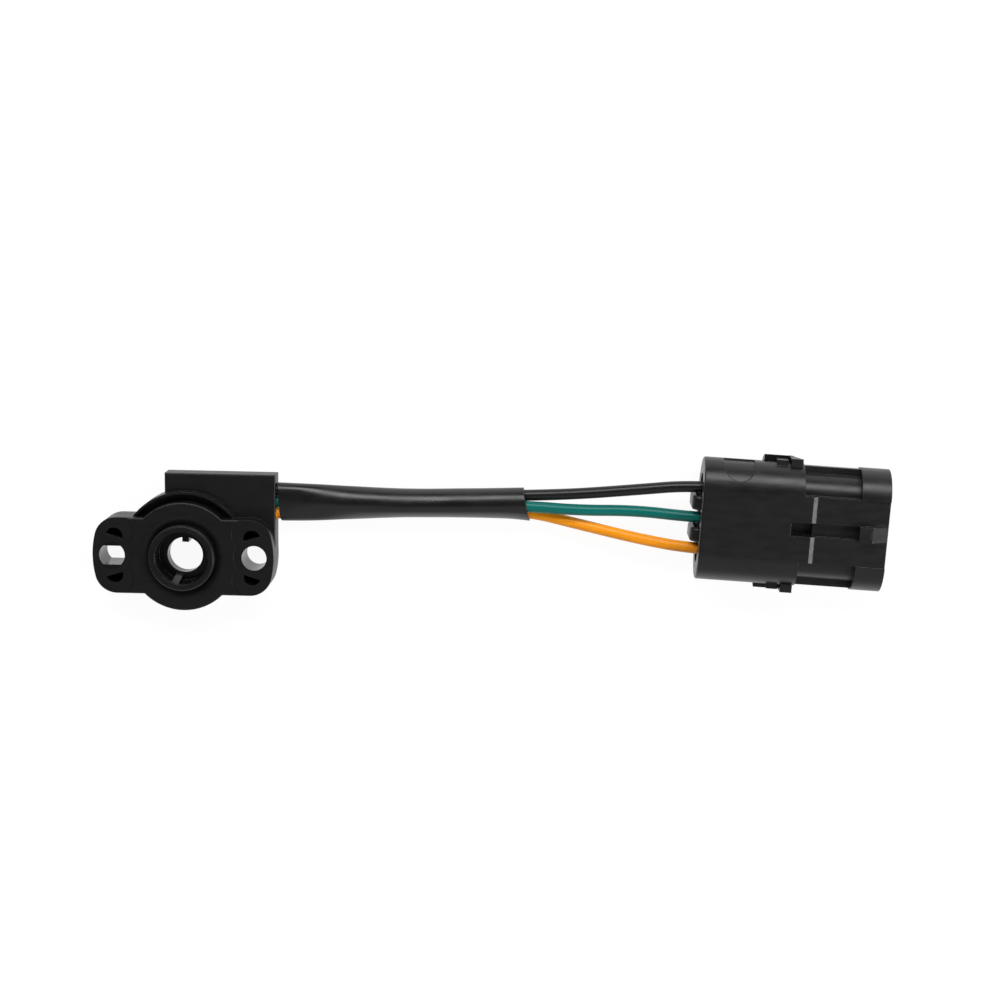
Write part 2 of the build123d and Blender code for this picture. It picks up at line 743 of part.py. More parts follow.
# Rear lock: plate under the connector, a sprung hook round each end and two hinge straps
with BuildPart() as connector_lock:
    with BuildSketch(station(arm_start)):
        SlotOverall(connector_width + 2 * arm_reach, connector_thickness + 2 * arm_reach)
        SlotOverall(
            connector_width + 2 * arm_gap,
            connector_thickness + 2 * arm_gap,
            mode=Mode.SUBTRACT,
        )
        with Locations((0, -connector_middle)):
            arm_area = (2 * connector_width, bar_top)
            Rectangle(*arm_area, align=(Align.CENTER, Align.MIN), mode=Mode.INTERSECT)
    extrude(amount=lock_length - arm_start)
    with BuildSketch(connector_top(0)):
        Rectangle(lock_length, lock_width, align=(Align.MIN, Align.CENTER))
        with Locations((arm_start, 0)):
            Rectangle(lock_length - arm_start, arm_foot_width, align=(Align.MIN, Align.CENTER))
    extrude(amount=lock_thickness)
    for side in (1, -1):
        # Window that frees the bar, and the head that rises in front of the lug
        with BuildSketch(connector_flank(side * lock_width / 2)):
            with BuildLine():
                Polyline(
                    (window_start, lock_thickness),
                    (window_start, bar_low),
                    (head_start + head_root, bar_low),
                    (lock_length, head_top - head_tip),
                    (lock_length, lock_thickness),
                    close=True,
                )
            make_face()
        extrude(amount=-side * connector_width, mode=Mode.SUBTRACT)
        with BuildSketch(connector_flank(side * (crest - head_lap))):
            with BuildLine():
                Polyline(
                    (head_start, bar_low),
                    (head_start, head_top),
                    (lock_length, head_top),
                    (lock_length, head_top - head_tip),
                    (head_start + head_root, bar_low),
                    close=True,
                )
            make_face()
        extrude(amount=-side * (head_lap + head_reach))
    # Room for the connector's rounded ends under the heads
    with BuildSketch(station(head_start)):
        SlotOverall(connector_width + 2 * lock_clearance, connector_thickness + 2 * lock_clearance)
        with Locations((0, bar_low - connector_middle)):
            head_area = (2 * connector_width, connector_thickness)
            Rectangle(*head_area, align=(Align.CENTER, Align.MIN), mode=Mode.INTERSECT)
    extrude(amount=lock_length - head_start, mode=Mode.SUBTRACT)
    for side in (1, -1):
        # Hinge strap, bent back up to the connector's rear face
        strap_place = side * cavity_pitch / 2
        strap_middle = strap_thickness / 2
        with BuildLine(connector_flank(strap_place)) as strap_path:
            FilletPolyline(
                (0, strap_middle),
                (strap_middle - strap_reach, strap_middle),
                (strap_middle - strap_reach, strap_height - strap_middle),
                (0, strap_height - strap_middle),
                radius=strap_bend_radius,
            )
        with BuildSketch(station(0, strap_place)):
            with Locations((0, strap_middle - connector_middle)):
                SlotOverall(strap_width, strap_thickness)
        sweep(path=strap_path.wires()[0])
connector_lock.part.label = "connector_lock"
export_step(connector_lock.part, "parts/connector_lock.step")

# Wire seals and pin terminals, one in each cavity
for colour, side in cavities.items():
    with BuildPart() as wire_seal:
        outer = seal_bore_radius - assembly_clearance
        with BuildSketch(station(wire_seal_start, side)):
            Circle(outer)
            Circle(wire_radius + wire_hole_clearance, mode=Mode.SUBTRACT)
        extrude(amount=wire_seal_length)
        pitch = wire_seal_length / (2 * wire_seal_ribs - 1)
        for groove in range(1, wire_seal_ribs):
            with BuildSketch(station(wire_seal_start + (2 * groove - 1) * pitch, side)):
                Circle(outer)
                Circle(outer - wire_seal_groove, mode=Mode.SUBTRACT)
            extrude(amount=pitch, mode=Mode.SUBTRACT)
    wire_seal.part.label = f"wire_seal_{colour}"
    export_step(wire_seal.part, f"parts/wire_seal_{colour}.step")

    mouth_floor = connector_length - mouth_depth
    with BuildPart() as pin_terminal:
        with BuildSketch(connector_flank(side)):
            with BuildLine():
                axis_height = connector_middle
                tip = mouth_floor + pin_reach
                crimp_end = terminal_start + crimp_length
                Polyline(
                    (terminal_start, axis_height),
                    (terminal_start, axis_height + crimp_radius),
                    (crimp_end, axis_height + crimp_radius),
                    (crimp_end, axis_height + pin_radius),
                    (crimp_end + pin_radius, axis_height + pin_radius),
                    (crimp_end + pin_radius, axis_height + terminal_body_radius),
                    (mouth_floor - pin_radius, axis_height + terminal_body_radius),
                    (mouth_floor - pin_radius, axis_height + pin_radius),
                    (tip - pin_radius, axis_height + pin_radius),
                    (tip, axis_height + pin_radius / 2),
                    (tip, axis_height),
                    close=True,
                )
            make_face()
        revolve(axis=Axis(along(0, side), connector_axis))
    pin_terminal.part.label = f"pin_terminal_{colour}"
    export_step(pin_terminal.part, f"parts/pin_terminal_{colour}.step")
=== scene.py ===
"""Looks of a throttle position sensor with its sleeved three-wire lead and sealed connector."""

from bisect import bisect_left
from dataclasses import dataclass, field
from enum import Enum
import logging
from math import atan2, cos, exp, log, pi, radians, sin
from typing import Protocol

import bmesh
import bpy
from mathutils import Matrix, Vector, noise


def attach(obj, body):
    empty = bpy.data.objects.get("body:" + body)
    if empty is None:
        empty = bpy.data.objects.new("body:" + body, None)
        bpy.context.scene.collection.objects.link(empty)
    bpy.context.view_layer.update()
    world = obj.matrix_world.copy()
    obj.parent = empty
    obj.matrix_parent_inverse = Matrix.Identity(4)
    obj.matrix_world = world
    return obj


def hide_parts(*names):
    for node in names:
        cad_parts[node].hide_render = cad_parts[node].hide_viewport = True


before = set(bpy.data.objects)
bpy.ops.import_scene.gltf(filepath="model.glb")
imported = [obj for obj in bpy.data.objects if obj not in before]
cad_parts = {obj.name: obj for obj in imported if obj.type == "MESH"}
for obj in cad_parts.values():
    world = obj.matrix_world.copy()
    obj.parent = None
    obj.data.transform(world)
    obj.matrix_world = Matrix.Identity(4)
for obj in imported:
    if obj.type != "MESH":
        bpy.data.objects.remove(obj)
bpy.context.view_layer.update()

Colour = tuple[float, float, float]
Point = tuple[float, float, float]
Span = tuple[float, float]
Socket = bpy.types.NodeSocket

LOG = logging.getLogger("throttle_position_sensor")
MM = 0.001
EVEN: Point = (1.0, 1.0, 1.0)
ORIGIN: Point = (0.0, 0.0, 0.0)
WHITE = (1.0, 1.0, 1.0, 1.0)
NOISE_SPAN: Span = (0.3, 0.7)
SPOT_RIM: Span = (1.05, 0.95)
EDGE_MATCH: Span = (0.99, 0.8)
EDGE_SAMPLES = 6


class Body(Enum):
    """Moving bodies of the sensor."""

    BASE = "base"
    ROTOR = "rotor"


class Slot(Enum):
    """Material slots of the record for the new pieces; nothing here gives them to a piece."""

    BLACK_WIRE = "wire_black"
    GREEN_WIRE = "wire_green"
    ORANGE_WIRE = "wire_orange"
    SLEEVE = "sleeve"


class WireColour(Enum):
    """The three wires of the lead."""

    BLACK = "black"
    GREEN = "green"
    ORANGE = "orange"


@dataclass(frozen=True)
class GlossSpot:
    """Round place where a moulded face is glossier or duller than the rest.

    Attributes:
        centre: Middle of the spot.
        radius: Its radius.
        change: What is added to the roughness inside it.
        through: Whether the spot goes through the whole height, as a round bar along Z.
    """

    centre: Point
    radius: float
    change: float
    through: bool = True


def shade(colour: Colour, factor: float) -> Colour:
    """A colour made darker or lighter by a factor."""
    red, green, blue = colour
    return (red * factor, green * factor, blue * factor)


class Graph:
    """Node tree of one material, with the textures that the finishes share."""

    def __init__(self, name: str) -> None:
        """Starts a material with a plain shader.

        Args:
            name: Name of the material.
        """
        self.material = bpy.data.materials.new(name)
        self.material.use_nodes = True
        self.tree = self.material.node_tree
        self.shader = self.tree.nodes["Principled BSDF"]

    def add(self, kind: str, inputs: dict[str, object], **settings: object) -> bpy.types.Node:
        """Adds a node, with its inputs set or linked.

        Args:
            kind: Blender's name of the node type.
            inputs: Values or sockets by input name.
            settings: Attributes of the node itself, such as its operation.

        Returns:
            The new node.
        """
        node = self.tree.nodes.new(kind)
        for name, value in settings.items():
            setattr(node, name, value)
        for name, value in inputs.items():
            self.feed(node.inputs[name], value)
        return node

    def feed(self, target: Socket, value: object) -> None:
        """Links a socket to an input, or sets the input to a plain value.

        Args:
            target: Input of a node.
            value: Socket, number or colour.
        """
        if isinstance(value, Socket):
            self.tree.links.new(value, target)
        else:
            target.default_value = value

    def give(self, name: str, value: object) -> None:
        """Feeds one input of the shader, by its name."""
        self.feed(self.shader.inputs[name], value)

    def pair(self, kind: str, operation: str, first: object, second: object) -> Socket:
        """Works out one value from two.

        Args:
            kind: Blender's name of the node type.
            operation: What the node does with the two.
            first: Socket or number.
            second: Socket or number.

        Returns:
            Socket with the outcome.
        """
        node = self.add(kind, {}, operation=operation)
        self.feed(node.inputs[0], first)
        self.feed(node.inputs[1], second)
        return node.outputs["Value"]

    def spread(self, value: Socket, source: Span, target: Span) -> Socket:
        """Carries a value from one range to another and holds it at the ends.

        Args:
            value: Socket with the value.
            source: Range that it comes from.
            target: Range that it goes to.

        Returns:
            Socket with the new value.
        """
        names = ("From Min", "From Max", "To Min", "To Max")
        inputs = {"Value": value, **dict(zip(names, (*source, *target)))}
        return self.add("ShaderNodeMapRange", inputs).outputs["Result"]

    def place(self, stretch: Point = EVEN, centre: Point = ORIGIN) -> Socket:
        """Object coordinates about a centre, pressed together along each axis.

        Args:
            stretch: Factor on each axis; a small one draws the pattern out.
            centre: Point that becomes the origin.

        Returns:
            Socket with the coordinates.
        """
        coordinates = self.add("ShaderNodeTexCoord", {}).outputs["Object"]
        shift = tuple(-factor * value for factor, value in zip(stretch, centre))
        inputs = {"Vector": coordinates, "Scale": stretch, "Location": shift}
        return self.add("ShaderNodeMapping", inputs).outputs["Vector"]

    def near(self, spot: GlossSpot) -> Socket:
        """Change of roughness that holds inside a round spot only.

        Args:
            spot: Place and strength of the change.

        Returns:
            Socket with the change, nought outside the spot.
        """
        across = 1.0 / spot.radius
        offset = self.place((across, across, 0.0 if spot.through else across), spot.centre)
        reach = self.add("ShaderNodeVectorMath", {"Vector": offset}, operation="LENGTH")
        return self.spread(reach.outputs["Value"], SPOT_RIM, (0.0, spot.change))

    def cloud(self, size: float, detail: float, stretch: Point = EVEN) -> Socket:
        """Soft noise with lumps of about the given size.

        Args:
            size: Size of a lump in metres.
            detail: Number of finer layers.
            stretch: Factor on each axis.

        Returns:
            Socket with values round one half.
        """
        inputs = {"Vector": self.place(stretch), "Scale": 1.0 / size, "Detail": detail}
        return self.add("ShaderNodeTexNoise", inputs).outputs["Fac"]

    def drawn(self, size: float, detail: float, draw: float) -> Socket:
        """Noise drawn out along X by a small factor, for marks that run with the lead."""
        return self.cloud(size, detail, (draw, 1.0, 1.0))

    def about(self, factor: Socket, middle: float, margins: Span) -> Socket:
        """Value that follows a noise, from below its middle to above it.

        Args:
            factor: Socket with noise round one half.
            middle: Middle value.
            margins: How far it goes below and above.

        Returns:
            Socket with the value.
        """
        below, above = margins
        return self.spread(factor, NOISE_SPAN, (middle - below, middle + above))

    def tint(self, factor: Socket, colour: Colour, shades: Span) -> Socket:
        """Colour that follows a noise from a darker to a lighter shade.

        Args:
            factor: Socket with noise round one half.
            colour: Colour between the two.
            shades: Darkest and lightest shade, as factors on the colour.

        Returns:
            Socket with the colour.
        """
        ramp = self.add("ShaderNodeValToRGB", {"Fac": factor})
        for end, position, share in zip(ramp.color_ramp.elements, NOISE_SPAN, shades):
            end.position = position
            end.color = (*shade(colour, share), 1.0)
        return ramp.outputs["Color"]

    def rounded(self, radius: float) -> Socket:
        """Normal that rolls over sharp edges of the given radius, for the light to catch."""
        return self.add("ShaderNodeBevel", {"Radius": radius}, samples=EDGE_SAMPLES).outputs["Normal"]

    def relief(self, height: Socket, depth: float, normal: Socket | None = None) -> Socket:
        """Bump of a texture.

        Args:
            height: Socket with the height, from 0 to 1.
            depth: Height of the bump in metres.
            normal: Normal that the bump goes on, where it isn't the mesh's own.

        Returns:
            Socket with the bumped normal.
        """
        inputs: dict[str, object] = {"Height": height, "Distance": depth}
        if normal is not None:
            inputs["Normal"] = normal
        return self.add("ShaderNodeBump", inputs).outputs["Normal"]


class Finish(Protocol):
    """Anything that can make a material."""

    def material(self) -> bpy.types.Material:
        """Makes the material."""
        ...


@dataclass(frozen=True)
class MouldedPlastic:
    """Filled black plastic with the eroded grain of its mould.

    Attributes:
        name: Name of the material.
        colour: Colour of the plastic.
        roughness: Middle roughness of its faces.
        gloss: Specular level of its faces.
        grain: Size of the mould's grain.
        grain_depth: Depth of the grain.
        mottle: Size of the faint patches of shade.
        shades: Darkest and lightest patch.
        flow: Width of the flow marks.
        flow_draw: Factor that draws the flow marks out along X.
        flow_margins: How far the roughness goes below and above its middle.
        edge: Radius of the edges.
        painted_edge_highlight: Painted highlight on the edges, as a factor on the colour that makes them
            paler.
        spots: Places that are glossier or duller.
    """

    name: str
    colour: Colour
    roughness: float
    gloss: float = 0.5
    grain: float = 0.16 * MM
    grain_depth: float = 0.007 * MM
    mottle: float = 5.0 * MM
    shades: Span = (0.82, 1.2)
    flow: float = 1.3 * MM
    flow_draw: float = 0.35
    flow_margins: Span = (0.05, 0.05)
    edge: float = 0.14 * MM
    painted_edge_highlight: float = 1.8
    spots: tuple[GlossSpot, ...] = ()

    def material(self) -> bpy.types.Material:
        """Makes the material.

        Returns:
            Grained plastic with faint flow marks, and a painted highlight that makes its edges a little
            paler.
        """
        graph = Graph(self.name)
        graph.give("Specular IOR Level", self.gloss)
        rounded = graph.rounded(self.edge)
        # Painted highlight: the edges are made paler in the colour itself, standing in for the light that
        # they catch.
        true_normal = graph.add("ShaderNodeNewGeometry", {}).outputs["Normal"]
        match = graph.pair("ShaderNodeVectorMath", "DOT_PRODUCT", rounded, true_normal)
        colours = {
            "Factor": graph.spread(match, EDGE_MATCH, (0.0, 1.0)),
            "A": graph.tint(graph.cloud(self.mottle, 5.0), self.colour, self.shades),
            "B": (*shade(self.colour, self.painted_edge_highlight), 1.0),
        }
        mix = graph.add("ShaderNodeMix", colours, data_type="RGBA")
        graph.give("Base Color", mix.outputs["Result"])
        flow = graph.drawn(self.flow, 4.0, self.flow_draw)
        roughness = graph.about(flow, self.roughness, self.flow_margins)
        for spot in self.spots:
            roughness = graph.pair("ShaderNodeMath", "ADD", roughness, graph.near(spot))
        graph.give("Roughness", roughness)
        grain = graph.cloud(self.grain, 3.0)
        graph.give("Normal", graph.relief(grain, self.grain_depth, rounded))
        return graph.material


@dataclass(frozen=True)
class Insulation:
    """Extruded wire insulation with fine draw lines along it.

    Attributes:
        name: Name of the material.
        colour: Colour of the insulation.
        roughness: Middle roughness.
        gloss: Specular level.
        line: Width of a draw line.
        line_depth: Depth of a draw line.
        line_draw: Factor that draws the lines out along X.
        streak: Width of the streaks of shade.
        shades: Darkest and lightest streak.
        smear: Size of the patches of sheen.
        smear_draw: Factor that draws the patches out along X.
        margins: How far the roughness goes below and above its middle.
    """

    name: str
    colour: Colour
    roughness: float = 0.3
    gloss: float = 0.4
    line: float = 0.22 * MM
    line_depth: float = 0.004 * MM
    line_draw: float = 0.03
    streak: float = 0.66 * MM
    shades: Span = (0.9, 1.08)
    smear: float = 2.0 * MM
    smear_draw: float = 0.3
    margins: Span = (0.05, 0.06)

    def material(self) -> bpy.types.Material:
        """Makes the material.

        Returns:
            Semi-gloss plastic, streaked along the wire.
        """
        graph = Graph(self.name)
        graph.give("Specular IOR Level", self.gloss)
        streak = graph.drawn(self.streak, 3.0, self.line_draw)
        graph.give("Base Color", graph.tint(streak, self.colour, self.shades))
        smear = graph.drawn(self.smear, 3.0, self.smear_draw)
        graph.give("Roughness", graph.about(smear, self.roughness, self.margins))
        lines = graph.drawn(self.line, 2.0, self.line_draw)
        graph.give("Normal", graph.relief(lines, self.line_depth))
        return graph.material


@dataclass(frozen=True)
class ShrunkSleeve:
    """Heat-shrunk tube: semi-gloss, faintly orange-peeled where it was heated.

    Attributes:
        name: Name of the material.
        colour: Colour of the tube.
        roughness: Middle roughness.
        mottle: Size of the patches of shade.
        shades: Darkest and lightest patch.
        peel: Size of the peel's dimples.
        peel_depth: Depth of the dimples.
        peel_draw: Factor that draws the dimples out along X.
        smear: Size of the patches of sheen.
        smear_draw: Factor that draws the patches out along X.
        margins: How far the roughness goes below and above its middle.
    """

    name: str
    colour: Colour
    roughness: float = 0.27
    mottle: float = 4.0 * MM
    shades: Span = (0.85, 1.2)
    peel: float = 0.55 * MM
    peel_depth: float = 0.006 * MM
    peel_draw: float = 0.4
    smear: float = 2.4 * MM
    smear_draw: float = 0.35
    margins: Span = (0.06, 0.08)

    def material(self) -> bpy.types.Material:
        """Makes the material.

        Returns:
            Dark semi-gloss plastic with an uneven sheen.
        """
        graph = Graph(self.name)
        graph.give("Base Color", graph.tint(graph.cloud(self.mottle, 4.0), self.colour, self.shades))
        smear = graph.drawn(self.smear, 4.0, self.smear_draw)
        graph.give("Roughness", graph.about(smear, self.roughness, self.margins))
        peel = graph.drawn(self.peel, 3.0, self.peel_draw)
        graph.give("Normal", graph.relief(peel, self.peel_depth))
        return graph.material


@dataclass(frozen=True)
class SealRubber:
    """Matt silicone rubber with a dusty bloom.

    Attributes:
        name: Name of the material.
        colour: Colour of the rubber.
        roughness: Middle roughness.
        bloom: Size of the dusty patches.
        shades: Darkest and lightest patch.
        margins: How far the roughness goes below and above its middle.
        pore: Size of a pore.
        pore_depth: Depth of a pore.
    """

    name: str
    colour: Colour
    roughness: float = 0.62
    bloom: float = 0.9 * MM
    shades: Span = (0.8, 1.5)
    margins: Span = (0.06, 0.1)
    pore: float = 0.1 * MM
    pore_depth: float = 0.006 * MM

    def material(self) -> bpy.types.Material:
        """Makes the material.

        Returns:
            Matt dark rubber.
        """
        graph = Graph(self.name)
        bloom = graph.cloud(self.bloom, 5.0)
        graph.give("Base Color", graph.tint(bloom, self.colour, self.shades))
        graph.give("Roughness", graph.about(bloom, self.roughness, self.margins))
        pores = graph.cloud(self.pore, 2.0)
        graph.give("Normal", graph.relief(pores, self.pore_depth))
        return graph.material


@dataclass(frozen=True)
class TinnedMetal:
    """Rolled or tinned contact metal with fine rolling lines.

    Attributes:
        name: Name of the material.
        colour: Colour of the metal.
        roughness: Middle roughness.
        mottle: Size of the patches of shade.
        shades: Darkest and lightest patch.
        line: Width of a rolling line.
        line_depth: Depth of a rolling line.
        line_draw: Factor that draws the lines out along X.
        margins: How far the roughness goes below and above its middle.
        edge: Radius of the edges.
    """

    name: str
    colour: Colour
    roughness: float = 0.28
    mottle: float = 1.6 * MM
    shades: Span = (0.82, 1.05)
    line: float = 0.12 * MM
    line_depth: float = 0.003 * MM
    line_draw: float = 0.06
    margins: Span = (0.07, 0.1)
    edge: float = 0.08 * MM

    def material(self) -> bpy.types.Material:
        """Makes the material.

        Returns:
            Satin metal, lined along X.
        """
        graph = Graph(self.name)
        graph.give("Metallic", 1.0)
        graph.give("Base Color", graph.tint(graph.cloud(self.mottle, 4.0), self.colour, self.shades))
        lines = graph.drawn(self.line, 2.0, self.line_draw)
        graph.give("Roughness", graph.about(lines, self.roughness, self.margins))
        graph.give("Normal", graph.relief(lines, self.line_depth, graph.rounded(self.edge)))
        return graph.material


@dataclass(frozen=True)
class Laminate:
    """Resin laminate with the weave of its glass cloth.

    Attributes:
        name: Name of the material.
        colour: Colour of the resin.
        roughness: Middle roughness.
        margins: How far the roughness goes below and above its middle.
        mottle: Size of the patches of shade.
        shades: Darkest and lightest patch.
        weave: Spacing of the cloth's threads.
        weave_depth: Depth of the weave.
        waviness: How far the threads stray.
    """

    name: str
    colour: Colour
    roughness: float = 0.45
    margins: Span = (0.07, 0.07)
    mottle: float = 3.0 * MM
    shades: Span = (0.8, 1.2)
    weave: float = 0.45 * MM
    weave_depth: float = 0.01 * MM
    waviness: float = 1.5

    def material(self) -> bpy.types.Material:
        """Makes the material.

        Returns:
            Brown board with a faint woven relief.
        """
        graph = Graph(self.name)
        cloud = graph.cloud(self.mottle, 4.0)
        graph.give("Base Color", graph.tint(cloud, self.colour, self.shades))
        graph.give("Roughness", graph.about(cloud, self.roughness, self.margins))
        wave = {"Scale": 1.0 / self.weave, "Distortion": self.waviness, "Detail": 1.0}
        weft = graph.add("ShaderNodeTexWave", {"Vector": graph.place(), **wave}).outputs["Fac"]
        graph.give("Normal", graph.relief(weft, self.weave_depth))
        return graph.material


@dataclass(frozen=True)
class CastResin:
    """Potting resin, glossy with a slightly uneven skin.

    Attributes:
        name: Name of the material.
        colour: Colour of the resin.
        roughness: Middle roughness.
        margins: How far the roughness goes below and above its middle.
        swell: Size of the skin's swells.
        swell_depth: Height of the swells.
        shades: Darkest and lightest shade.
    """

    name: str
    colour: Colour
    roughness: float = 0.22
    margins: Span = (0.06, 0.06)
    swell: float = 1.5 * MM
    swell_depth: float = 0.03 * MM
    shades: Span = (0.8, 1.3)

    def material(self) -> bpy.types.Material:
        """Makes the material.

        Returns:
            Glossy dark resin.
        """
        graph = Graph(self.name)
        swell = graph.cloud(self.swell, 4.0)
        graph.give("Base Color", graph.tint(swell, self.colour, self.shades))
        graph.give("Roughness", graph.about(swell, self.roughness, self.margins))
        graph.give("Normal", graph.relief(swell, self.swell_depth))
        return graph.material


def dress(finish: Finish, *nodes: str) -> None:
    """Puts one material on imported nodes.

    Args:
        finish: Finish of the nodes.
        nodes: Names of the nodes.
    """
    material = finish.material()
    for name in nodes:
        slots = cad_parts[name].data.materials
        slots.clear()
        slots.append(material)
        LOG.info("%s dressed in %s", name, material.name)


def show(name: str, data: bpy.types.ID, finish: Finish, body: Body) -> bpy.types.Object:
    """Adds a finished piece to the scene and lets it ride on a body.

    Args:
        name: Name of the piece.
        data: Its mesh or curve, in the frame's metres.
        finish: Its finish.
        body: Body that carries it.

    Returns:
        The new object.
    """
    data.materials.append(finish.material())
    piece = bpy.data.objects.new(name, data)
    bpy.context.scene.collection.objects.link(piece)
    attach(piece, body.value)
    LOG.info("%s made", name)
    return piece


@dataclass
class SensorBody:
    """The sensor: moulded housing and cover, turning rotor, and the works between them."""

    housing: Finish = MouldedPlastic(
        "housing_grain",
        (0.0045, 0.0045, 0.0047),
        0.42,
        gloss=0.36,
        spots=(
            GlossSpot((16.0 * MM, 0.0, 0.0), 3.1 * MM, -0.2),
            GlossSpot((-16.0 * MM, 0.0, 0.0), 3.1 * MM, -0.2),
        ),
    )
    cover: Finish = MouldedPlastic("cover_grain", (0.005, 0.005, 0.0052), 0.45, gloss=0.36)
    rotor: Finish = MouldedPlastic(
        "rotor_satin",
        (0.0045, 0.0045, 0.0047),
        0.42,
        gloss=0.34,
        grain_depth=0.004 * MM,
        spots=(GlossSpot(ORIGIN, 6.2 * MM, -0.22),),
    )
    seal: Finish = SealRubber("rotor_seal_rubber", (0.012, 0.012, 0.012))
    contact: Finish = TinnedMetal("contact_spring", (0.78, 0.6, 0.33), 0.24)
    board: Finish = Laminate("element_laminate", (0.16, 0.1, 0.05))
    terminal: Finish = TinnedMetal("solder_tinned", (0.72, 0.66, 0.52))
    potting: Finish = CastResin("potting_resin", (0.014, 0.014, 0.015))

    def build(self) -> None:
        """Dresses the nodes of the sensor."""
        dress(self.housing, "housing")
        dress(self.cover, "back_cover")
        dress(self.rotor, "rotor")
        dress(self.seal, "rotor_seal")
        dress(self.contact, "wiper")
        dress(self.board, "element_board")
        dress(self.terminal, *(f"board_terminal_{colour.value}" for colour in WireColour))
        dress(self.potting, "potting_plug")


@dataclass
class Connector:
    """The sealed connector at the end of the lead.

    Attributes:
        shell: Finish of the shell, duller on its scuffed lock tooth.
        lock: Finish of the rear lock.
        seal: Finish of the wire seals.
        pin: Finish of the pin terminals.
        rear: Middle of the rear face.
        turn: Angle of the connector about Z.
        cavity_pitch: Distance between two cavities.
    """

    shell: Finish = MouldedPlastic(
        "connector_grain",
        (0.0072, 0.0072, 0.0077),
        0.35,
        gloss=0.46,
        edge=0.18 * MM,
        spots=(GlossSpot((154.1 * MM, 9.5 * MM, 13.5 * MM), 2.4 * MM, 0.3, through=False),),
    )
    lock: Finish = MouldedPlastic("lock_satin", (0.0055, 0.0055, 0.0058), 0.38, grain_depth=0.004 * MM)
    seal: Finish = SealRubber("wire_seal_rubber", (0.02, 0.02, 0.02))
    pin: Finish = TinnedMetal("pin_tinned", (0.74, 0.69, 0.56), 0.2)
    rear: Point = (115.0 * MM, 11.4 * MM, 6.6 * MM)
    turn: float = radians(-2.8)
    cavity_pitch: float = 7.1 * MM

    def at(self, distance: float, side: float) -> Point:
        """Point on the middle plane of the connector.

        Args:
            distance: Distance in front of the rear face.
            side: Distance from the middle cavity, positive to +Y.

        Returns:
            Point in the frame.
        """
        x, y, z = self.rear
        return (
            x + distance * cos(self.turn) - side * sin(self.turn),
            y + distance * sin(self.turn) + side * cos(self.turn),
            z,
        )

    def build(self) -> None:
        """Dresses the nodes of the connector."""
        dress(self.shell, "connector_housing")
        dress(self.lock, "connector_lock")
        dress(self.seal, *(f"wire_seal_{colour.value}" for colour in WireColour))
        dress(self.pin, *(f"pin_terminal_{colour.value}" for colour in WireColour))

    def pieces_on(self, colour: WireColour) -> list[str]:
        """Names of the nodes at the end of one wire; the middle wire has the shell and its lock.

        Args:
            colour: Which wire.

        Returns:
            Names of the nodes.
        """
        shell = ["connector_housing", "connector_lock"] if colour is WireColour.GREEN else []
        return [f"wire_seal_{colour.value}", f"pin_terminal_{colour.value}", *shell]


@dataclass
class Wire:
    """One insulated wire, with its places in millimetres.

    Attributes:
        colour: Which wire it is.
        slot: Its material slot; not used.
        finish: Its insulation.
        row: Its place in the row at the sensor's box, from the middle wire.
        cavity: Its cavity, counted from the middle one.
        bundle: Points of its route under the sleeve.
        free: Points of its route between the sleeve and the connector.
        length: Its length in metres; not used.
    """

    colour: WireColour
    slot: Slot
    finish: Finish
    row: float
    cavity: float
    bundle: list[Point]
    free: list[Point]
    length: float


def lead_wires() -> list[Wire]:
    """The three wires of the lead, routed by hand.

    Returns:
        The three wires of the lead, routed through given points.
    """
    return [
        Wire(
            WireColour.BLACK,
            Slot.BLACK_WIRE,
            Insulation("black_insulation", (0.009, 0.009, 0.0095)),
            row=2.65,
            cavity=1.0,
            bundle=[
                (25, 14.75, 2.5),
                (36, 14.4, 2.75),
                (49, 13.9, 2.85),
                (64, 14.45, 3.25),
                (77, 15.05, 3.9),
            ],
            free=[(88, 15.75, 4.7), (101, 17.2, 5.9)],
            length=107.8 * MM,
        ),
        Wire(
            WireColour.GREEN,
            Slot.GREEN_WIRE,
            Insulation("green_insulation", (0.001, 0.145, 0.125), gloss=0.3),
            row=0.0,
            cavity=0.0,
            bundle=[
                (25, 12.1, 2.5),
                (36, 12.0, 4.1),
                (49, 12.1, 4.8),
                (64, 12.55, 5.1),
                (77, 12.85, 5.35),
            ],
            free=[(88, 12.2, 5.5), (101, 12.6, 6.3)],
            length=107.3 * MM,
        ),
        Wire(
            WireColour.ORANGE,
            Slot.ORANGE_WIRE,
            Insulation("orange_insulation", (0.98, 0.335, 0.008), gloss=0.3),
            row=-2.65,
            cavity=-1.0,
            bundle=[
                (25, 9.45, 2.5),
                (36, 10.1, 2.3),
                (49, 11.0, 2.35),
                (64, 11.3, 2.75),
                (77, 11.3, 3.2),
            ],
            free=[(88, 8.85, 3.7), (101, 6.2, 5.3)],
            length=107.6 * MM,
        ),
    ]


@dataclass
class CentreLine:
    """Middle of one wire, as points in order along it."""

    points: list[Vector]
    stations: list[float] = field(init=False)

    def __post_init__(self) -> None:
        """Notes the X of each point, by which the line is searched."""
        self.stations = [point.x for point in self.points]

    def crossing(self, x: float) -> Vector:
        """Where the wire crosses an upright plane.

        Args:
            x: X of the plane.

        Returns:
            Y and Z of the wire there.
        """
        after = min(max(bisect_left(self.stations, x), 1), len(self.points) - 1)
        before, here = self.points[after - 1], self.points[after]
        share = (x - before.x) / (here.x - before.x)
        point = before.lerp(here, share)
        return Vector((point.y, point.z))


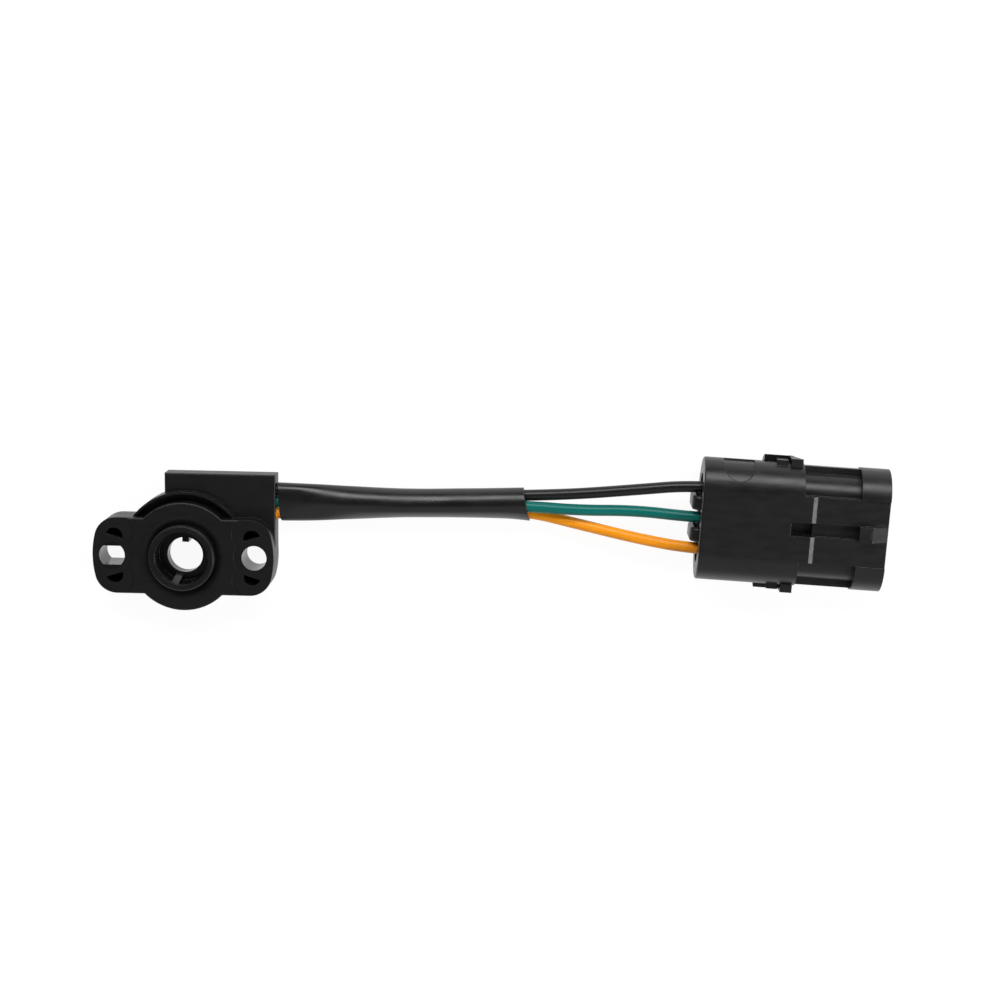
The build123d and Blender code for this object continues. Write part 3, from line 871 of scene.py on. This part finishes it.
@dataclass
class Lead:
    """Three wires from the sensor's box to the connector, with a shrunk sleeve over the first half.

    Attributes:
        connector: Connector at the far end.
        radius: Radius over the insulation.
        start: Where the middle wire leaves the potting.
        lead_in: How far behind the connector the wires point into it.
        terminal_start: How far inside the connector the wires end.
        section_steps: Steps of the wires' round section.
        route_steps: Steps between two points of the wires' routes.
        wires: The wires, from +Y to -Y.
        sleeve_finish: Finish of the sleeve.
        sleeve_ends: X of the sleeve's two ends.
        sleeve_slants: How far the ends are cut askew, as X per Y.
        sleeve_wall: Thickness of the sleeve.
        sleeve_slack: Gap between sleeve and wires.
        sleeve_sides: Corners round the sleeve.
        sleeve_step: Distance between two rings of the sleeve.
        cut_margin: Length past each end that is cut off.
        weld: Distance at which cut corners are joined.
        row_end: X where the wires stop lying in a row.
        bundle_start: X where they lie in a bundle.
        dome: How far the bundle's upper side bows out.
        dome_share: Where it does so, from the upper wire to the middle one.
        roundness: How far the skin bows out between the wires of the row and of the bundle.
        wrinkle: Height of the wrinkles.
        wrinkle_length: Length of a wrinkle.
        wrinkle_turns: How fast the wrinkles change round the sleeve.
    """

    connector: Connector
    radius: float = 1.275 * MM
    start: Point = (16.4 * MM, 12.2 * MM, 2.5 * MM)
    lead_in: float = 2.0 * MM
    terminal_start: float = 8.5 * MM
    section_steps: int = 7
    route_steps: int = 20
    wires: list[Wire] = field(default_factory=lead_wires)
    sleeve_finish: Finish = ShrunkSleeve("shrunk_sleeve", (0.008, 0.008, 0.0084))
    sleeve_ends: Span = (21.0 * MM, 76.75 * MM)
    sleeve_slants: Span = (-0.11, -0.19)
    sleeve_wall: float = 0.3 * MM
    sleeve_slack: float = 0.15 * MM
    sleeve_sides: int = 96
    sleeve_step: float = 0.8 * MM
    cut_margin: float = 2.0 * MM
    weld: float = 0.01 * MM
    row_end: float = 26.0 * MM
    bundle_start: float = 42.0 * MM
    dome: float = 0.6 * MM
    dome_share: float = 0.45
    roundness: Span = (0.16 * MM, 0.4 * MM)
    wrinkle: float = 0.03 * MM
    wrinkle_length: float = 5.0 * MM
    wrinkle_turns: float = 1.6

    def route(self, wire: Wire) -> list[Point]:
        """Control points of one wire.

        Args:
            wire: The wire.

        Returns:
            Points from the sensor's box to the pin terminal, in metres.
        """
        x, y, z = self.start
        middle = [(px * MM, py * MM, pz * MM) for px, py, pz in wire.bundle + wire.free]
        side = wire.cavity * self.connector.cavity_pitch
        last = [self.connector.at(distance, side) for distance in (-self.lead_in, self.terminal_start)]
        return [(x, y + wire.row * MM, z), *middle, *last]

    def curve(self, wire: Wire) -> bpy.types.Curve:
        """Smooth curve of one wire, as thick as its insulation.

        Args:
            wire: The wire.

        Returns:
            Curve of one open spline.
        """
        points = self.route(wire)
        curve = bpy.data.curves.new(f"{wire.colour.value}_insulation", "CURVE")
        curve.dimensions = "3D"
        curve.bevel_depth = self.radius
        curve.bevel_resolution = self.section_steps
        curve.resolution_u = self.route_steps
        curve.use_fill_caps = True
        spline = curve.splines.new("NURBS")
        spline.points.add(len(points) - 1)
        for control, point in zip(spline.points, points):
            control.co = (*point, 1.0)
        spline.order_u = 3
        spline.use_endpoint_u = True
        return curve

    def centre_line(self, curve: bpy.types.Curve) -> CentreLine:
        """Points along a wire's spline.

        Args:
            curve: Curve of the wire.

        Returns:
            Line from the sensor to the connector.
        """
        bare = bpy.data.objects.new("bare_line", curve.copy())
        bare.data.bevel_depth = 0.0
        bpy.context.scene.collection.objects.link(bare)
        seen = bare.evaluated_get(bpy.context.evaluated_depsgraph_get())
        mesh = bpy.data.meshes.new_from_object(seen)
        points = [vertex.co.copy() for vertex in mesh.vertices]
        bpy.data.objects.remove(bare)
        bpy.data.meshes.remove(mesh)
        return CentreLine(points)

    def skin(self, facing: Vector, centres: list[Vector], roundness: float) -> Vector:
        """Point of a skin drawn over the wires, where it faces a given way.

        Args:
            facing: Direction that the skin faces, across the lead.
            centres: Centres of the wires and of what else holds the skin out.
            roundness: How far the skin bows out between them.

        Returns:
            Point on the outside of the sleeve.
        """
        pulls = [exp(centre.dot(facing) / roundness) for centre in centres]
        total = sum(pulls)
        along = Vector((-facing.y, facing.x))
        reach = self.radius + self.sleeve_wall + self.sleeve_slack + roundness * log(total)
        slide = sum(pull * centre.dot(along) for pull, centre in zip(pulls, centres)) / total
        return reach * facing + slide * along

    def drawn(self, corner: Vector, lines: list[CentreLine]) -> Vector:
        """Where a corner of the plain tube lies once the tube has shrunk onto the wires.

        Args:
            corner: Corner of the plain tube, whose angle about X gives the way that the skin faces.
            lines: Centre line of each wire.

        Returns:
            Y and Z of the corner on the sleeve.
        """
        places = [line.crossing(corner.x) for line in lines]
        middle = sum(places, Vector((0.0, 0.0))) / len(places)
        centres = [place - middle for place in places]
        closed = (corner.x - self.row_end) / (self.bundle_start - self.row_end)
        closed = min(max(closed, 0.0), 1.0)
        upper, crown = centres[0], centres[1]
        bow = Vector((crown.y - upper.y, upper.x - crown.x)).normalized()
        centres.append(upper.lerp(crown, self.dome_share) + closed * self.dome * bow)
        angle = atan2(corner.z, corner.y)
        facing = Vector((cos(angle), sin(angle)))
        in_row, in_bundle = self.roundness
        point = middle + self.skin(facing, centres, in_row + closed * (in_bundle - in_row))
        turn = self.wrinkle_turns * facing
        ripple = noise.noise(Vector((corner.x / self.wrinkle_length, turn.x, turn.y)))
        return point + self.wrinkle * ripple * facing

    def plain_tube(self) -> bmesh.types.BMesh:
        """Round tube along X, a little longer than the sleeve.

        Returns:
            Open tube of one skin.
        """
        first, last = self.sleeve_ends
        steps = round((last - first + 2.0 * self.cut_margin) / self.sleeve_step)
        shape = bmesh.new()
        upright = Matrix.Translation((first - self.cut_margin, 0.0, 0.0)) @ Matrix.Rotation(pi / 2.0, 4, "Y")
        bmesh.ops.create_circle(shape, segments=self.sleeve_sides, radius=1.0, matrix=upright)
        ring = list(shape.edges)
        for _ in range(steps):
            grown = bmesh.ops.extrude_edge_only(shape, edges=ring)["geom"]
            ring = [item for item in grown if isinstance(item, bmesh.types.BMEdge)]
            corners = [item for item in grown if isinstance(item, bmesh.types.BMVert)]
            bmesh.ops.translate(shape, verts=corners, vec=(self.sleeve_step, 0.0, 0.0))
        return shape

    def sleeve(self, lines: list[CentreLine]) -> bpy.types.Mesh:
        """Sleeve drawn tight over the wires, cut a little askew at both ends.

        Args:
            lines: Centre line of each wire.

        Returns:
            Mesh of the sleeve's outer skin.
        """
        shape = self.plain_tube()
        for vertex in shape.verts:
            vertex.co.y, vertex.co.z = self.drawn(vertex.co, lines)
        for end, slant, way in zip(self.sleeve_ends, self.sleeve_slants, (-1.0, 1.0)):
            middle = sum(line.crossing(end).x for line in lines) / len(lines)
            bmesh.ops.bisect_plane(
                shape,
                geom=[*shape.verts, *shape.edges, *shape.faces],
                plane_co=(end, middle, 0.0),
                plane_no=(way, -way * slant, 0.0),
                clear_outer=True,
            )
        bmesh.ops.remove_doubles(shape, verts=shape.verts, dist=self.weld)
        bmesh.ops.recalc_face_normals(shape, faces=shape.faces)
        for face in shape.faces:
            face.smooth = True
        mesh = bpy.data.meshes.new("shrunk_sleeve")
        shape.to_mesh(mesh)
        shape.free()
        return mesh

    def build(self) -> None:
        lines, cords = [], []
        for wire in self.wires:
            curve = self.curve(wire)
            lines.append(self.centre_line(curve))
            piece = show(f"{wire.colour.value}_insulated_wire", curve, wire.finish, Body.BASE)
            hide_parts(f"{wire.colour.value}_wire")
            cords.append(piece)
        sleeve = show("shrunk_sleeve", self.sleeve(lines), self.sleeve_finish, Body.BASE)
        wall = sleeve.modifiers.new("wall", "SOLIDIFY")
        wall.thickness = self.sleeve_wall
        wall.offset = -1.0
        soft = sleeve.modifiers.new("soft_edge", "SUBSURF")
        soft.levels = soft.render_levels = 1
        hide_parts("sleeve")
        for wire, piece in zip(self.wires, cords):
            held = self.connector.pieces_on(wire.colour)
            if wire.colour is WireColour.GREEN:
                held.append(sleeve.name)
            self.route(wire)[0]


@dataclass(frozen=True)
class SoftBox:
    """One rectangular soft light.

    Attributes:
        name: Name of the light.
        aim: Point that it faces.
        way: Direction from that point to the light.
        distance: Distance of the light from that point.
        size: Length and width of the light.
        power: Power in watts.
    """

    name: str
    aim: Point
    way: Point
    distance: float
    size: Span
    power: float

    def build(self) -> None:
        """Adds the light, facing what it is aimed at."""
        light = bpy.data.lights.new(self.name, "AREA")
        light.shape = "RECTANGLE"
        light.size, light.size_y = self.size
        light.energy = self.power
        way = Vector(self.way).normalized()
        side = Vector((1.0, 0.0, 0.0)) if abs(way.x) < abs(way.y) else Vector((0.0, 1.0, 0.0))
        across = (side - way * side.dot(way)).normalized()
        turned = Matrix((across, way.cross(across), way)).transposed()
        lamp = bpy.data.objects.new(self.name, light)
        lamp.matrix_world = Matrix.Translation(Vector(self.aim) + self.distance * way) @ turned.to_4x4()
        bpy.context.scene.collection.objects.link(lamp)


@dataclass
class Studio:
    """White floor, soft light and the camera of the photograph.

    Attributes:
        eye: Place of the camera.
        aim: Point in the middle of the picture.
        roll: Turn of the camera about its view.
        focal_pixels: Focal length in pixels.
        frame_pixels: Width of the picture in pixels.
        sensor: Width of the camera's sensor in millimetres.
        clip: Nearest and farthest distance that the camera sees.
        floor_radius: Radius of the floor.
        floor_sides: Corners of the floor.
        floor_drop: Gap between the floor and the sensor's back.
        floor_colour: Colour of the floor.
        floor_shades: Darkest and lightest shade of the floor.
        floor_speckle: Size of the patches of shade.
        floor_roughness: Roughness of the floor.
        floor_gloss: Specular level of the floor.
        floor_white: Share of plain white where the floor is looked at.
        white_level: Strength of that white.
        zenith: Strength of the sky overhead.
        front: Strength of the sky in front.
        front_span: Y of the view over which the front fades out.
        horizon: Strength of the sky at the horizon.
        horizon_span: Z of the view over which the horizon fades out.
        boxes: The soft lights.
    """

    eye: Point = (81.898 * MM, 82.294 * MM, 405.273 * MM)
    aim: Point = (70.851 * MM, 14.551 * MM, 8.0 * MM)
    roll: float = radians(1.017)
    focal_pixels: float = 1820.284
    frame_pixels: float = 1000.0
    sensor: float = 36.0
    clip: Span = (0.01, 50.0)
    floor_radius: float = 6.0
    floor_sides: int = 64
    floor_drop: float = 0.05 * MM
    floor_colour: Colour = (0.86, 0.86, 0.86)
    floor_shades: Span = (0.99, 1.0)
    floor_speckle: float = 0.4
    floor_roughness: float = 0.9
    floor_gloss: float = 0.1
    floor_white: float = 0.88
    white_level: float = 1.06
    zenith: float = 0.02
    front: float = 0.52
    front_span: Span = (-0.38, -0.12)
    horizon: float = 0.28
    horizon_span: Span = (0.1, 0.5)
    boxes: tuple[SoftBox, ...] = (
        SoftBox(
            "key_box",
            aim=(0.071, 0.014, 0.008),
            way=(0.0, 0.75, 0.66),
            distance=0.6,
            size=(0.9, 0.24),
            power=4.0,
        ),
        SoftBox(
            "side_box",
            aim=(0.14, 0.01, 0.013),
            way=(0.79, -0.18, 0.57),
            distance=0.7,
            size=(0.34, 0.34),
            power=2.8,
        ),
    )

    def camera(self) -> None:
        """Adds the camera at the photograph's place and angle."""
        lens = bpy.data.cameras.new("photo_camera")
        lens.sensor_width = self.sensor
        lens.lens = self.sensor * self.focal_pixels / self.frame_pixels
        lens.clip_start, lens.clip_end = self.clip
        eye, aim = Vector(self.eye), Vector(self.aim)
        ahead = (aim - eye).normalized()
        right = ahead.cross(Vector((0.0, 1.0, 0.0))).normalized()
        up = right.cross(ahead)
        level = Matrix((right, up, -ahead)).transposed()
        turned = level @ Matrix.Rotation(self.roll, 3, "Z")
        camera = bpy.data.objects.new("photo_camera", lens)
        camera.matrix_world = Matrix.Translation(eye) @ turned.to_4x4()
        bpy.context.scene.collection.objects.link(camera)
        bpy.context.scene.camera = camera

    def floor_material(self) -> bpy.types.Material:
        """White floor that stays white behind the object and still takes its shadow.

        Returns:
            Pale diffuse material, mixed with white where it is looked at.
        """
        graph = Graph("studio_floor")
        graph.give("Roughness", self.floor_roughness)
        graph.give("Specular IOR Level", self.floor_gloss)
        speckle = graph.cloud(self.floor_speckle, 2.0)
        graph.give("Base Color", graph.tint(speckle, self.floor_colour, self.floor_shades))
        path = graph.add("ShaderNodeLightPath", {})
        looked = path.outputs["Is Camera Ray"]
        for ray in ("Is Glossy Ray", "Is Transmission Ray"):
            looked = graph.pair("ShaderNodeMath", "MAXIMUM", looked, path.outputs[ray])
        share = graph.pair("ShaderNodeMath", "MULTIPLY", looked, self.floor_white)
        white = graph.add("ShaderNodeEmission", {"Color": WHITE, "Strength": self.white_level})
        mix = graph.add("ShaderNodeMixShader", {"Fac": share})
        graph.feed(mix.inputs[1], graph.shader.outputs["BSDF"])
        graph.feed(mix.inputs[2], white.outputs["Emission"])
        graph.feed(graph.tree.nodes["Material Output"].inputs["Surface"], mix.outputs["Shader"])
        return graph.material

    def floor(self) -> None:
        """Adds the floor that the sensor lies on."""
        shape = bmesh.new()
        down = Matrix.Translation((0.0, 0.0, -self.floor_drop))
        bmesh.ops.create_circle(
            shape, cap_ends=True, segments=self.floor_sides, radius=self.floor_radius, matrix=down
        )
        mesh = bpy.data.meshes.new("studio_floor")
        shape.to_mesh(mesh)
        shape.free()
        mesh.materials.append(self.floor_material())
        floor = bpy.data.objects.new("studio_floor", mesh)
        bpy.context.scene.collection.objects.link(floor)

    def sky(self) -> None:
        """Adds a dim tent: dark overhead, a grey fill in front and a paler horizon."""
        world = bpy.data.worlds.new("light_tent")
        world.use_nodes = True
        bpy.context.scene.world = world
        nodes, links = world.node_tree.nodes, world.node_tree.links
        way = nodes.new("ShaderNodeTexCoord")
        axes = nodes.new("ShaderNodeSeparateXYZ")
        links.new(way.outputs["Generated"], axes.inputs["Vector"])
        brighter = nodes.new("ShaderNodeMath")
        brighter.operation = "MAXIMUM"
        bands = (
            ("Y", self.front_span, self.front, self.zenith),
            ("Z", self.horizon_span, self.horizon, 0.0),
        )
        for socket, (axis, span, low, high) in zip(brighter.inputs, bands):
            band = nodes.new("ShaderNodeMapRange")
            band.inputs["From Min"].default_value, band.inputs["From Max"].default_value = span
            band.inputs["To Min"].default_value = low
            band.inputs["To Max"].default_value = high
            links.new(axes.outputs[axis], band.inputs["Value"])
            links.new(band.outputs["Result"], socket)
        links.new(brighter.outputs["Value"], nodes["Background"].inputs["Strength"])
        nodes["Background"].inputs["Color"].default_value = WHITE

    def build(self) -> None:
        """Sets the stage and the camera."""
        bpy.context.scene.view_settings.view_transform = "Standard"
        self.camera()
        self.floor()
        self.sky()
        for box in self.boxes:
            box.build()


def main() -> None:
    """Builds the sensor's looks: the studio, the lead, the sensor and the connector."""
    logging.basicConfig(level=logging.INFO, format="%(name)s: %(message)s")
    Studio().build()
    connector = Connector()
    Lead(connector).build()
    SensorBody().build()
    connector.build()


if __name__ == "__main__":
    main()
